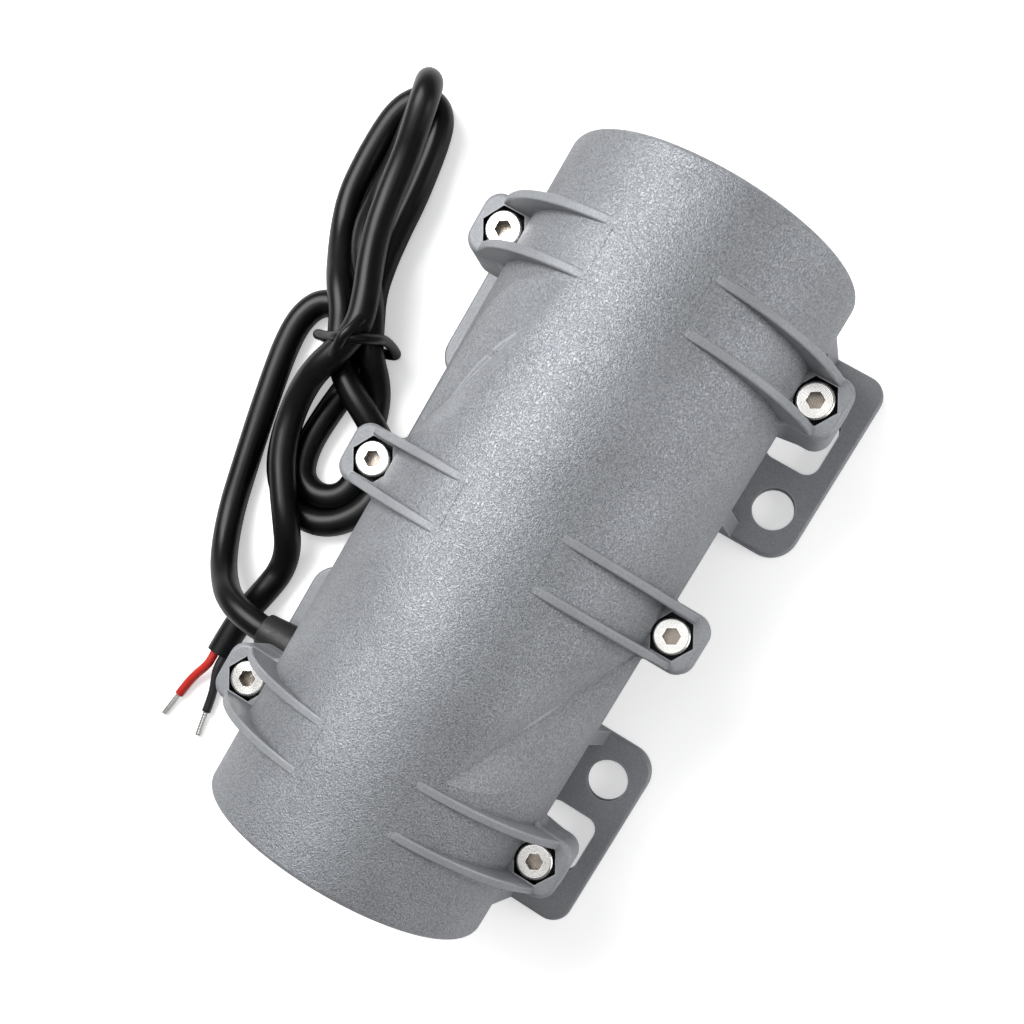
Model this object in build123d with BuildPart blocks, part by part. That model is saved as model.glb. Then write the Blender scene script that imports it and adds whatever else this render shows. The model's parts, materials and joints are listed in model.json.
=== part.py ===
from build123d import *
from math import cos, pi, radians, sin, sqrt, tan
import os

# Vibration motor in a two-part cast housing, with an eccentric weight at each end of its shaft.
# X runs along the shaft, +Y is the side where the cord leaves, and Z is up.
# The origin is on the mounting surface, under the middle of the feet.

# Housing barrel
shell_radius = 30.0
shell_length = 140.0
shell_wall = 3.0
end_wall = 4.0
end_fillet = 2.5
parting_gap = 0.2
seal_width = 1.2
seal_groove_depth = 0.7
seal_clearance = 0.05

# Feet
foot_thickness = 4.0
foot_overlap = 0.5
foot_start = 24.0
foot_length = 42.3
foot_reach = 43.4
foot_inner_corner = 6.0
foot_outer_corner = 4.5
foot_edge_round = 0.8
hole_spacing_x = 66.8
hole_spacing_y = 71.2
hole_diameter = 8.8
window_clearance = 0.5
window_rim = 4.2
window_corner = 2.8
web_thickness = 3.4
web_reach = 31.0
web_rise = 20.5
core_wall = 3.0
core_rib = 2.5
core_half_width = 24.0

# Clamp lugs and their ribs
bolt_spacing = 49.0
bolt_offset = 33.0
lug_width = 12.2
lug_margin = 6.0
lug_height = 6.5
lug_corner = 3.4
lug_edge_round = 1.0
lug_blend = 2.0
lug_blend_inset = 0.1
pocket_across_flats = 7.8
head_seat = 3.0
head_relief = 0.35
rib_thickness = 1.7
rib_pocket_gap = 0.2
rib_crown_offset = 8.2
rib_arc_radius = 34.2
rib_nose_inset = 3.4
rib_edge_round = 0.4
rib_floor_step = 0.08
rib_run_out = 1.2
gusset_drop = 6.0

# Clamp screws and nuts, M4
screw_diameter = 4.0
screw_hole_diameter = 4.4
head_diameter = 7.0
head_height = 4.0
head_edge = 0.45
socket_across_flats = 3.0
socket_depth = 2.2
screw_stand_out = 0.5
nut_across_flats = 7.0
nut_height = 3.2
nut_clearance = 0.1
thread_gap = 0.03

# Shaft and its two deep-groove ball bearings
shaft_diameter = 8.0
shaft_gap = 0.02
bearing_station = 47.5
bearing_diameter = 22.0
bearing_width = 7.0
seat_gap = 0.02
inner_race_radius = 6.1
outer_race_radius = 9.3
ball_diameter = 3.8
ball_count = 7
groove_gap = 0.12
shield_thickness = 0.4
shield_gap = 0.25
cage_width = 2.4
cage_wall = 1.2
hub_wall = 4.0
hub_lip = 1.5
lip_cover = 1.0
bearing_web = 3.0

# Eccentric weights
weight_thickness = 10.5
weight_radius = 22.0
weight_hub_radius = 8.5
spacer_length = 2.0
spacer_wall = 2.0
set_screw_diameter = 4.0
set_screw_length = 4.2
circlip_thickness = 0.8
circlip_groove_depth = 0.3
circlip_reach = 1.9
circlip_opening = 5.0
shaft_overrun = 1.0

# Stator and armature
flux_ring_length = 52.0
flux_ring_wall = 3.0
bond_gap = 0.1
ring_stop = 1.5
magnet_thickness = 4.0
magnet_length = 44.0
magnet_span = 130.0
air_gap = 0.7
core_length = 36.0
slot_count = 12
slot_bottom_radius = 10.5
slot_bottom_width = 2.4
slot_top_radius = 17.4
slot_top_width = 4.8
slot_opening = 1.4
slot_liner = 0.15
end_turn_length = 6.5
end_turn_gap = 0.5
commutator_radius = 9.0
commutator_length = 11.0
commutator_groove = 0.6

# Brush gear
plate_thickness = 3.0
plate_bore_radius = 11.0
brush_width = 5.0
brush_length = 11.0
brush_gap = 0.15
brush_clearance = 0.1
box_wall = 1.4
box_cap = 1.0
spring_length = 4.1
spring_radius = 1.8
spring_wire = 0.5
spring_turns = 3.0

# Cord entry
entry_station = -43.0
entry_drop = 16.0
boss_radius = 7.5
boss_face = 31.0
boss_floor = 26.0
neck_radius = 4.5
neck_gap = 0.05
inner_flange_radius = 6.2
inner_flange = 1.6
outer_flange_radius = 6.2
outer_flange = 1.8
boot_length = 10.0
boot_tip_radius = 3.8
lead_diameter = 1.8

# Cord and the hank that its length is tied into
cord_diameter = 6.0
hank_centre = (20.5, 61.0)
hank_angle = 13.4
hank_height = 17.0
lobe_height = 12.5
fold_height = 6.6
hank_edge = 2.5
waist_radius = 8.4
tie_width = 3.2
tie_thickness = 1.4
tie_gap = 0.1
core_diameter = 2.0
core_offset = 1.15
tinned_diameter = 1.2
tinned_length = 6.0

# Places that follow from the sizes above
cord_radius = cord_diameter / 2
bore_radius = shell_radius - shell_wall
wall_middle = shell_radius - shell_wall / 2
lug_root = bore_radius - 1.0
axis_height = foot_thickness + shell_radius - foot_overlap
split_plane = Plane.XY.offset(axis_height)
shaft_axis = Axis((0, 0, axis_height), (1, 0, 0))
entry_z = axis_height - entry_drop
entry_plane = Plane(origin=(entry_station, 0, entry_z), x_dir=(1, 0, 0), z_dir=(0, 1, 0))
cavity_half_length = shell_length / 2 - end_wall
bolt_stations = (-bolt_spacing, 0, bolt_spacing)
lug_reach = bolt_offset + lug_margin
nut_seat = lug_height - nut_height
screw_length = head_seat + lug_height + screw_stand_out
bearing_inner_face = bearing_station - bearing_width / 2
bearing_outer_face = bearing_station + bearing_width / 2
hub_length = bearing_width + 2 * hub_lip
hub_radius = bearing_diameter / 2 + hub_wall
shaft_bore = shaft_diameter / 2 + shaft_gap
weight_inner_face = bearing_outer_face + spacer_length
weight_outer_face = weight_inner_face + weight_thickness
shaft_end = weight_outer_face + circlip_thickness + shaft_overrun
flux_ring_radius = bore_radius - bond_gap
magnet_radius = flux_ring_radius - flux_ring_wall - bond_gap
armature_radius = magnet_radius - magnet_thickness - air_gap
foot_centre = foot_start + foot_length / 2
core_start = foot_start + web_thickness
core_end = foot_start + foot_length - web_thickness

os.makedirs("parts", exist_ok=True)


def station(x):
    """A plane across the shaft at x: its first axis is +Y, its second +Z, and its origin the shaft."""
    return Plane(origin=(x, 0, axis_height), x_dir=(0, 1, 0), z_dir=(1, 0, 0))


def save(piece, name):
    """Labels a finished piece and writes it to its own file."""
    piece.part.label = name
    export_step(piece.part, f"parts/{name}.step")


def barrel_section():
    """Half of the barrel's outline on the split plane, to be turned about the shaft."""
    with BuildSketch(split_plane) as section:
        with Locations((0, shell_radius / 2)):
            Rectangle(shell_length, shell_radius)
        fillet(section.vertices().group_by(Axis.Y)[-1], end_fillet)
    return section.sketch


def cavity_section():
    """Half of the hollow inside the barrel: the chambers, and the bearing seats in their hubs and webs."""
    with BuildSketch(split_plane) as section:
        with Locations((0, bore_radius / 2)):
            Rectangle(2 * cavity_half_length, bore_radius)
        for side in (-1, 1):
            with Locations((side * bearing_station, bore_radius / 2)):
                Rectangle(bearing_web, bore_radius, mode=Mode.SUBTRACT)
            with Locations((side * bearing_station, hub_radius / 2)):
                Rectangle(hub_length, hub_radius, mode=Mode.SUBTRACT)
            lip_radius = bearing_diameter / 2 - lip_cover
            with Locations((side * bearing_station, lip_radius / 2)):
                Rectangle(hub_length, lip_radius)
            seat_radius = bearing_diameter / 2 + seat_gap
            with Locations((side * bearing_station, seat_radius / 2)):
                Rectangle(bearing_width, seat_radius)
        stop_radius = magnet_radius
        with Locations(((flux_ring_length + ring_stop) / 2, (bore_radius + stop_radius) / 2)):
            Rectangle(ring_stop, bore_radius - stop_radius, mode=Mode.SUBTRACT)
    return section.sketch


def seal_loop(width):
    """The seal's path round the cut faces of the barrel, as a band of the given width."""
    length = shell_length - end_wall
    breadth = 2 * shell_radius - shell_wall
    with BuildSketch(split_plane) as loop:
        RectangleRounded(length + width, breadth + width, end_fillet)
        RectangleRounded(length - width, breadth - width, end_fillet - width, mode=Mode.SUBTRACT)
    return loop.sketch


def lug_outline():
    """Plan of the six lugs, with rounded outer corners and a flare where they leave the barrel."""
    blend_y = sqrt(shell_radius**2 - lug_height**2) - lug_blend_inset
    half = lug_width / 2
    with BuildSketch(split_plane) as outline:
        with Locations([(x, (lug_root + lug_reach) / 2) for x in bolt_stations]):
            Rectangle(lug_width, lug_reach - lug_root)
        with Locations([(x, (lug_root + blend_y) / 2) for x in bolt_stations]):
            Rectangle(lug_width + 3 * lug_blend, blend_y - lug_root)
        outer_corners = outline.vertices().group_by(Axis.Y)[-1]
        fillet(outer_corners, lug_corner)
        inner_corners = [
            v
            for v in outline.vertices()
            if abs(v.Y - blend_y) < 0.01 and min(abs(abs(v.X - x) - half) for x in bolt_stations) < 0.01
        ]
        fillet(inner_corners, lug_blend)
        mirror(about=Plane.XZ)
    return outline.sketch


def lug_ribs():
    """The pair of arched ribs of one lug at x = 0 on the +Y side, from the crown to the lug's nose.
    Their arc runs out through the barrel's surface at the crown and ends inside its wall."""
    root_radius = wall_middle
    nose = Vector(lug_reach - rib_nose_inset, lug_height)
    crown = Vector(rib_crown_offset, sqrt(shell_radius**2 - rib_crown_offset**2))
    chord = nose - crown
    rise = sqrt(rib_arc_radius**2 - (chord.length / 2) ** 2)
    arc_centre = (crown + nose) / 2 + Vector(chord.Y, -chord.X) * (rise / chord.length)
    arc_top = arc_centre + Vector(0, rib_arc_radius)
    crown_root = arc_top * (root_radius / arc_top.length)
    nose_root = (nose.X, lug_height / 2)
    heel = (sqrt(root_radius**2 - (lug_height / 2) ** 2), lug_height / 2)
    rib_offset = pocket_across_flats / 2 + rib_pocket_gap
    with BuildPart() as ribs:
        with BuildSketch(station(rib_offset)) as profile:
            with BuildLine():
                RadiusArc(arc_top, nose, rib_arc_radius)
                Polyline(nose, nose_root, heel)
                RadiusArc(heel, crown_root, -root_radius)
                Line(crown_root, arc_top)
            make_face()
        extrude(amount=rib_thickness)
        top_edges = ribs.edges().filter_by(GeomType.CIRCLE).sort_by(lambda edge: edge.radius)[-2:]
        fillet(top_edges, rib_edge_round)
        mirror(about=Plane.YZ)
    return ribs.part


def rib_floor():
    """The floor between one pair of ribs at x = 0 on the +Y side, a little proud of the barrel.
    It ends inside the ribs' height, short of where they run out at the crown."""
    floor_end = rib_crown_offset + rib_run_out
    half_width = pocket_across_flats / 2 + rib_pocket_gap + rib_thickness / 2
    with BuildPart() as floor:
        with BuildSketch(station(-half_width)):
            Circle(shell_radius + rib_floor_step)
            Circle(wall_middle, mode=Mode.SUBTRACT)
            with Locations(((floor_end + bolt_offset) / 2, (shell_radius + lug_height) / 2)):
                Rectangle(bolt_offset - floor_end, shell_radius, mode=Mode.INTERSECT)
        extrude(amount=2 * half_width)
    return floor.part


def lug_gussets():
    """The pair of gussets under one lower lug at x = 0 on the +Y side."""
    rib_offset = pocket_across_flats / 2 + rib_pocket_gap
    low = lug_height + gusset_drop
    tip = (lug_reach - rib_nose_inset, 0.5 - lug_height)
    heel = (sqrt(wall_middle**2 - lug_height**2), 0.5 - lug_height)
    foot = (sqrt((shell_radius - 0.3) ** 2 - low**2), -low)
    with BuildPart() as gussets:
        with BuildSketch(station(rib_offset)):
            with BuildLine():
                Polyline(tip, heel, foot, close=True)
            make_face()
        extrude(amount=rib_thickness)
        mirror(about=Plane.YZ)
    return gussets.part


# Upper shell: half of the barrel, six lugs with a hexagonal pocket for the screw's head,
# and a pair of ribs from each lug over the shell. The crown between the ribs is bare.
ribs = lug_ribs()
floor = rib_floor()
with BuildPart() as upper_lugs:
    extrude(lug_outline(), amount=lug_height)
    top_edges = upper_lugs.edges().group_by(Axis.Z)[-1]
    fillet([edge for edge in top_edges if abs(edge.center().Y) > lug_root + 2.2], lug_edge_round)
    with BuildSketch(split_plane.offset(head_seat)):
        with GridLocations(bolt_spacing, 2 * bolt_offset, 3, 2):
            RegularPolygon(pocket_across_flats / 2, 6, major_radius=False, rotation=30)
    extrude(amount=lug_height, mode=Mode.SUBTRACT)
with BuildPart() as upper_shell:
    revolve(barrel_section(), axis=shaft_axis, revolution_arc=180)
    add(upper_lugs.part)
    with Locations([(x, 0, 0) for x in bolt_stations]):
        add(ribs)
        add(ribs.mirror(Plane.XZ))
        add(floor)
        add(floor.mirror(Plane.XZ))
    revolve(cavity_section(), axis=shaft_axis, revolution_arc=180, mode=Mode.SUBTRACT)
    extrude(seal_loop(seal_width), amount=seal_groove_depth + parting_gap / 2, mode=Mode.SUBTRACT)
    with BuildSketch(split_plane):
        with GridLocations(bolt_spacing, 2 * bolt_offset, 3, 2):
            Circle(screw_hole_diameter / 2)
    extrude(amount=lug_height, mode=Mode.SUBTRACT)
    with BuildSketch(split_plane.offset(head_seat)):
        with GridLocations(bolt_spacing, 2 * bolt_offset, 3, 2):
            Circle(head_diameter / 2 + head_relief)
    extrude(amount=head_height + lug_height, mode=Mode.SUBTRACT)
    split(bisect_by=split_plane.offset(parting_gap / 2), keep=Keep.TOP)
save(upper_shell, "upper_shell")

# Front foot: a plate with a window under the lug, a web at both ends, and a cored block
# whose saddle takes the barrel.
with BuildPart() as front_foot:
    with BuildSketch(Plane.XY) as foot_outline:
        with Locations((foot_centre, 0)):
            Rectangle(foot_length, 2 * foot_reach)
        fillet(foot_outline.vertices().group_by(Axis.X)[0], foot_inner_corner)
        fillet(foot_outline.vertices().group_by(Axis.X)[-1], foot_outer_corner)
    extrude(amount=foot_thickness)
    fillet(front_foot.edges().group_by(Axis.Z)[-1], foot_edge_round)
    with BuildSketch(Plane.XY):
        window_start = core_half_width + core_wall
        window_end = foot_reach - window_rim
        window_length = lug_width + 2 * window_clearance
        with Locations([(bolt_spacing, side * (window_start + window_end) / 2) for side in (-1, 1)]):
            RectangleRounded(window_length, window_end - window_start, window_corner)
        with GridLocations(hole_spacing_x, hole_spacing_y, 2, 2):
            Circle(hole_diameter / 2)
    extrude(amount=foot_thickness, mode=Mode.SUBTRACT)
    with BuildSketch(Plane.XY):
        with Locations((foot_centre, 0)):
            Rectangle(foot_length, 2 * (core_half_width + core_wall))
    extrude(amount=axis_height - gusset_drop - lug_height)
    for web_start in (foot_start, core_end):
        with BuildSketch(station(web_start)):
            with BuildLine():
                low = foot_thickness - foot_edge_round - axis_height
                high = low + web_rise
                crest = sqrt(shell_radius**2 - high**2)
                Polyline((web_reach, low), (crest, high), (-crest, high), (-web_reach, low), close=True)
            make_face()
        extrude(amount=web_thickness)
    columns = 3
    rows = 4
    pocket_x = (core_end - core_start - (columns - 1) * core_rib) / columns
    pocket_y = (2 * core_half_width - (rows - 1) * core_rib) / rows
    with BuildSketch(Plane.XY):
        with Locations((foot_centre, 0)):
            with GridLocations(pocket_x + core_rib, pocket_y + core_rib, columns, rows):
                Rectangle(pocket_x, pocket_y)
    extrude(amount=axis_height, mode=Mode.SUBTRACT)
    revolve(barrel_section(), axis=shaft_axis, mode=Mode.SUBTRACT)
save(front_foot, "front_foot")

# Rear foot: the front one mirrored, and opened for the cord's boss.
with BuildPart() as rear_foot:
    add(front_foot.part.mirror(Plane.YZ))
    with BuildSketch(entry_plane.offset(bore_radius / 2)):
        Circle(boss_radius)
    extrude(amount=boss_face - bore_radius / 2, mode=Mode.SUBTRACT)
save(rear_foot, "rear_foot")

# Lower shell: the other half of the barrel, with its lugs, their gussets and the cord's boss.
with BuildPart() as lower_lugs:
    extrude(lug_outline(), amount=-lug_height)
    bottom_edges = lower_lugs.edges().group_by(Axis.Z)[0]
    fillet([edge for edge in bottom_edges if abs(edge.center().Y) > lug_root + 2.2], lug_edge_round)
gussets = lug_gussets()
with BuildPart() as lower_shell:
    revolve(barrel_section(), axis=shaft_axis, revolution_arc=-180)
    add(lower_lugs.part)
    with Locations([(x, 0, 0) for x in bolt_stations]):
        add(gussets)
        add(gussets.mirror(Plane.XZ))
    with BuildSketch(entry_plane.offset(bore_radius / 2)):
        Circle(boss_radius)
    extrude(amount=boss_face - bore_radius / 2)
    revolve(cavity_section(), axis=shaft_axis, revolution_arc=-180, mode=Mode.SUBTRACT)
    with BuildSketch(entry_plane.offset(boss_floor)):
        Circle(inner_flange_radius + neck_gap)
    extrude(amount=-shell_wall * 3, mode=Mode.SUBTRACT)
    with BuildSketch(entry_plane.offset(boss_face)):
        Circle(neck_radius + neck_gap)
    extrude(amount=boss_floor - boss_face, mode=Mode.SUBTRACT)
    extrude(seal_loop(seal_width), amount=-seal_groove_depth - parting_gap / 2, mode=Mode.SUBTRACT)
    with BuildSketch(split_plane):
        with GridLocations(bolt_spacing, 2 * bolt_offset, 3, 2):
            Circle(screw_hole_diameter / 2)
    extrude(amount=-lug_height, mode=Mode.SUBTRACT)
    with BuildSketch(split_plane.offset(-nut_seat)):
        with GridLocations(bolt_spacing, 2 * bolt_offset, 3, 2):
            RegularPolygon(nut_across_flats / 2 + nut_clearance, 6, major_radius=False, rotation=30)
    extrude(amount=-lug_height, mode=Mode.SUBTRACT)
    split(bisect_by=split_plane.offset(-parting_gap / 2), keep=Keep.BOTTOM)
save(lower_shell, "lower_shell")

# Seal cord in the groove between the shells.
with BuildPart() as shell_seal:
    seal_height = 2 * (seal_groove_depth - seal_clearance) + parting_gap
    extrude(seal_loop(seal_width - 2 * seal_clearance), amount=seal_height / 2, both=True)
save(shell_seal, "shell_seal")

# Socket-head clamp screws, one for each pair of lugs.
with BuildPart() as clamp_screws:
    with GridLocations(bolt_spacing, 2 * bolt_offset, 3, 2):
        with Locations((0, 0, axis_height + head_seat)):
            Cylinder(head_diameter / 2, head_height, align=(Align.CENTER, Align.CENTER, Align.MIN))
    fillet(clamp_screws.edges().group_by(Axis.Z)[-1], head_edge)
    with BuildSketch(split_plane.offset(head_seat + head_height)):
        with GridLocations(bolt_spacing, 2 * bolt_offset, 3, 2):
            RegularPolygon(socket_across_flats / 2, 6, major_radius=False)
    extrude(amount=-socket_depth, mode=Mode.SUBTRACT)
    with BuildSketch(split_plane.offset(head_seat)):
        with GridLocations(bolt_spacing, 2 * bolt_offset, 3, 2):
            Circle(screw_diameter / 2)
    extrude(amount=-screw_length)
save(clamp_screws, "clamp_screws")

# Nuts in the hexagonal pockets under the lower lugs.
with BuildPart() as clamp_nuts:
    with BuildSketch(split_plane.offset(-nut_seat)):
        with GridLocations(bolt_spacing, 2 * bolt_offset, 3, 2):
            RegularPolygon(nut_across_flats / 2, 6, major_radius=False, rotation=30)
            Circle(screw_diameter / 2 + thread_gap, mode=Mode.SUBTRACT)
    extrude(amount=-nut_height)
save(clamp_nuts, "clamp_nuts")

# Shaft, stepped only by the two circlip grooves.
circlip_root = shaft_diameter / 2 - circlip_groove_depth
with BuildPart() as shaft:
    with BuildSketch(split_plane) as shaft_section:
        with Locations((0, shaft_diameter / 4)):
            Rectangle(2 * shaft_end, shaft_diameter / 2)
        chamfer(shaft_section.vertices().group_by(Axis.Y)[-1], 0.5)
        groove_x = weight_outer_face + circlip_thickness / 2
        groove_width = circlip_thickness + bond_gap
        for side in (-1, 1):
            with Locations((side * groove_x, shaft_diameter / 4 + circlip_root / 2)):
                Rectangle(groove_width, shaft_diameter / 2 - circlip_root, mode=Mode.SUBTRACT)
    revolve(axis=shaft_axis)
save(shaft, "shaft")


def ring(start, end, inner, outer):
    """A plain ring about the shaft between two stations."""
    with BuildPart() as made:
        with BuildSketch(station(start)):
            Circle(outer)
            Circle(inner, mode=Mode.SUBTRACT)
        extrude(amount=end - start)
    return made


def bearing_race(x, inner, outer):
    """A bearing race with the balls' groove turned in it."""
    pitch_radius = (inner_race_radius + outer_race_radius) / 2
    with BuildPart() as race:
        with BuildSketch(split_plane):
            with Locations((x, (inner + outer) / 2)):
                Rectangle(bearing_width, outer - inner)
            with Locations((x, pitch_radius)):
                Circle(ball_diameter / 2 + groove_gap, mode=Mode.SUBTRACT)
        revolve(axis=shaft_axis)
    return race


def ball_set(x):
    """The balls of one bearing in their cage, held by it at an even pitch."""
    pitch_radius = (inner_race_radius + outer_race_radius) / 2
    with BuildPart() as balls:
        with BuildSketch(station(x - cage_width / 2)):
            Circle(pitch_radius + cage_wall / 2)
            Circle(pitch_radius - cage_wall / 2, mode=Mode.SUBTRACT)
        extrude(amount=cage_width)
        with Locations(station(x)):
            with PolarLocations(pitch_radius, ball_count):
                Sphere(ball_diameter / 2)
    return balls


def bearing_shields(x):
    """The two dished covers that close a bearing, clipped in the outer race."""
    inset = bearing_width / 2 - shield_thickness
    with BuildPart() as shields:
        for start in (x - bearing_width / 2, x + inset):
            with BuildSketch(station(start)):
                Circle(outer_race_radius - bond_gap / 2)
                Circle(inner_race_radius + shield_gap, mode=Mode.SUBTRACT)
            extrude(amount=shield_thickness)
    return shields


def weight(x):
    """An eccentric weight: a half disc hanging under the shaft, cast with a round clamping hub."""
    with BuildPart() as made:
        with BuildSketch(station(x)) as profile:
            Circle(weight_radius)
            with Locations((0, weight_radius / 2 + 0.5)):
                Rectangle(2 * weight_radius, weight_radius + 1, mode=Mode.SUBTRACT)
            Circle(weight_hub_radius)
            Circle(shaft_bore, mode=Mode.SUBTRACT)
        extrude(amount=weight_thickness)
        round_edges = made.edges().filter_by(GeomType.CIRCLE)
        chamfer(round_edges.filter_by(lambda edge: edge.radius > weight_hub_radius), 0.6)
        middle = x + weight_thickness / 2
        with BuildSketch(Plane.XY.offset(axis_height)):
            with Locations((middle, 0)):
                Circle(set_screw_diameter / 2 + thread_gap)
        extrude(amount=weight_hub_radius + 1, mode=Mode.SUBTRACT)
    return made


def set_screw(x):
    """The socket set screw that locks a weight on the shaft."""
    with BuildPart() as made:
        with BuildSketch(split_plane.offset(shaft_bore)):
            with Locations((x + weight_thickness / 2, 0)):
                Circle(set_screw_diameter / 2)
        extrude(amount=set_screw_length)
        with BuildSketch(split_plane.offset(shaft_bore + set_screw_length)):
            with Locations((x + weight_thickness / 2, 0)):
                RegularPolygon(1.0, 6, major_radius=False)
        extrude(amount=-1.8, mode=Mode.SUBTRACT)
    return made


def circlip(x):
    """An open retaining ring in the shaft's groove."""
    with BuildPart() as made:
        with BuildSketch(station(x)):
            Circle(shaft_diameter / 2 + circlip_reach)
            Circle(circlip_root + shaft_gap, mode=Mode.SUBTRACT)
            with Locations((0, shaft_diameter / 2)):
                Rectangle(circlip_opening, shaft_diameter, mode=Mode.SUBTRACT)
        extrude(amount=circlip_thickness)
    return made


# Both ends of the shaft carry the same set of pieces.
for end, side in (("front", 1), ("rear", -1)):
    bearing_x = side * bearing_station
    first_x = min(side * weight_inner_face, side * weight_outer_face)
    clip_x = weight_outer_face + 0.05 if side > 0 else -weight_outer_face - circlip_thickness - 0.05
    spacer_start = min(side * bearing_outer_face, side * weight_inner_face)
    save(bearing_race(bearing_x, outer_race_radius, bearing_diameter / 2), f"{end}_outer_race")
    save(bearing_race(bearing_x, shaft_bore, inner_race_radius), f"{end}_inner_race")
    save(ball_set(bearing_x), f"{end}_ball_set")
    save(bearing_shields(bearing_x), f"{end}_bearing_shields")
    spacer = ring(spacer_start, spacer_start + spacer_length, shaft_bore, shaft_bore + spacer_wall)
    save(spacer, f"{end}_spacer")
    save(weight(first_x), f"{end}_weight")
    save(set_screw(first_x), f"{end}_set_screw")
    save(circlip(clip_x), f"{end}_circlip")

# Steel flux ring in the barrel, with the two magnets bonded inside it.
save(
    ring(-flux_ring_length / 2, flux_ring_length / 2, flux_ring_radius - flux_ring_wall, flux_ring_radius),
    "flux_ring",
)
for name, middle_angle in (("upper_magnet", 90), ("lower_magnet", 270)):
    with BuildPart() as magnet:
        with BuildSketch(split_plane):
            with Locations((0, magnet_radius - magnet_thickness / 2)):
                Rectangle(magnet_length, magnet_thickness)
        revolve(axis=shaft_axis, revolution_arc=magnet_span)
    start_angle = middle_angle - magnet_span / 2
    magnet.part = magnet.part.rotate(shaft_axis, start_angle)
    save(magnet, name)

# Laminated armature core with a slot for each coil.
slot_pitch = 360 / slot_count


def slot_profile(margin):
    """The outline of one armature slot along +Y, less a margin all round."""
    inner = slot_bottom_radius + margin
    outer = slot_top_radius - margin
    return [
        (inner, margin - slot_bottom_width / 2),
        (outer, margin - slot_top_width / 2),
        (outer, slot_top_width / 2 - margin),
        (inner, slot_bottom_width / 2 - margin),
    ]


with BuildPart() as armature_core:
    with BuildSketch(station(-core_length / 2)):
        Circle(armature_radius)
        Circle(shaft_bore, mode=Mode.SUBTRACT)
        with PolarLocations(0, slot_count):
            Polygon(*slot_profile(0), align=None, mode=Mode.SUBTRACT)
            with Locations(((slot_top_radius + armature_radius + 1) / 2 - 0.1, 0)):
                Rectangle(armature_radius + 1 - slot_top_radius + 0.2, slot_opening, mode=Mode.SUBTRACT)
    extrude(amount=core_length)
save(armature_core, "armature_core")

# Winding: one bar of wire for each slot, joined by the end turns on both faces of the core.
with BuildPart() as armature_winding:
    winding_half = core_length / 2 + end_turn_gap + end_turn_length
    with BuildSketch(station(-winding_half + 1)):
        with PolarLocations(0, slot_count):
            Polygon(*slot_profile(slot_liner), align=None)
    extrude(amount=2 * winding_half - 2)
    slot_middle = (slot_bottom_radius + slot_top_radius) / 2
    slot_depth = slot_top_radius - slot_bottom_radius
    with BuildSketch(split_plane):
        for side in (-1, 1):
            with Locations((side * (winding_half - end_turn_length / 2), slot_middle)):
                RectangleRounded(end_turn_length, slot_depth + 1, 2.4)
    revolve(axis=shaft_axis)
save(armature_winding, "armature_winding")

# Commutator on the cord's side of the core.
plate_face = -flux_ring_length / 2 - bond_gap - plate_thickness
brush_station = plate_face - box_wall - brush_clearance - brush_width / 2
commutator_end = brush_station - commutator_length / 2
with BuildPart() as commutator:
    with BuildSketch(station(commutator_end)):
        Circle(commutator_radius)
        Circle(shaft_bore, mode=Mode.SUBTRACT)
        with PolarLocations(commutator_radius - commutator_groove / 2, slot_count):
            Rectangle(commutator_groove + 0.4, commutator_groove, mode=Mode.SUBTRACT)
    extrude(amount=commutator_length)
save(commutator, "commutator")

# Sleeves that keep the armature between the bearings.
save(
    ring(-bearing_inner_face, commutator_end, shaft_bore, shaft_bore + spacer_wall),
    "commutator_sleeve",
)
save(
    ring(core_length / 2, bearing_inner_face, shaft_bore, shaft_bore + spacer_wall),
    "core_sleeve",
)

# Brush plate with an upper and a lower brush box.
box_width = brush_width + 2 * (brush_clearance + box_wall)
brush_foot = commutator_radius + brush_gap
brush_top = brush_foot + brush_length
box_top = brush_top + spring_length + 2 * bond_gap + box_cap
box_foot = plate_bore_radius
with BuildPart() as brush_plate:
    with BuildSketch(station(plate_face)):
        Circle(flux_ring_radius)
        Circle(plate_bore_radius, mode=Mode.SUBTRACT)
    extrude(amount=plate_thickness)
    with BuildSketch(station(plate_face)):
        with Locations([(0, side * (box_foot + box_top) / 2) for side in (-1, 1)]):
            Rectangle(box_width, box_top - box_foot)
    extrude(amount=-box_width)
    channel = brush_width + 2 * brush_clearance
    channel_top = box_top - box_cap
    with BuildSketch(station(plate_face - box_wall)):
        with Locations([(0, side * (box_foot - 1 + channel_top) / 2) for side in (-1, 1)]):
            Rectangle(channel, channel_top - box_foot + 1)
    extrude(amount=-channel, mode=Mode.SUBTRACT)
save(brush_plate, "brush_plate")

# Carbon brushes with a curved foot, and the springs that press them on the commutator.
for name, side in (("upper", 1), ("lower", -1)):
    with BuildPart() as brush:
        with Locations((brush_station, 0, axis_height + side * (brush_top + commutator_radius / 2) / 2)):
            Box(brush_width, brush_width, brush_top - commutator_radius / 2)
        with BuildSketch(station(brush_station - brush_width)):
            Circle(brush_foot)
        extrude(amount=2 * brush_width, mode=Mode.SUBTRACT)
    save(brush, f"{name}_brush")
    spring_foot = axis_height + side * (brush_top + bond_gap + spring_wire / 2)
    travel = spring_length - spring_wire
    with BuildPart() as spring:
        with BuildLine() as coil:
            Helix(
                travel / spring_turns,
                travel,
                spring_radius,
                center=(brush_station, 0, spring_foot),
                direction=(0, 0, side),
            )
        with BuildSketch(Plane(origin=coil.line @ 0, z_dir=coil.line % 0)):
            Circle(spring_wire / 2)
        sweep()
    save(spring, f"{name}_brush_spring")

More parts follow.
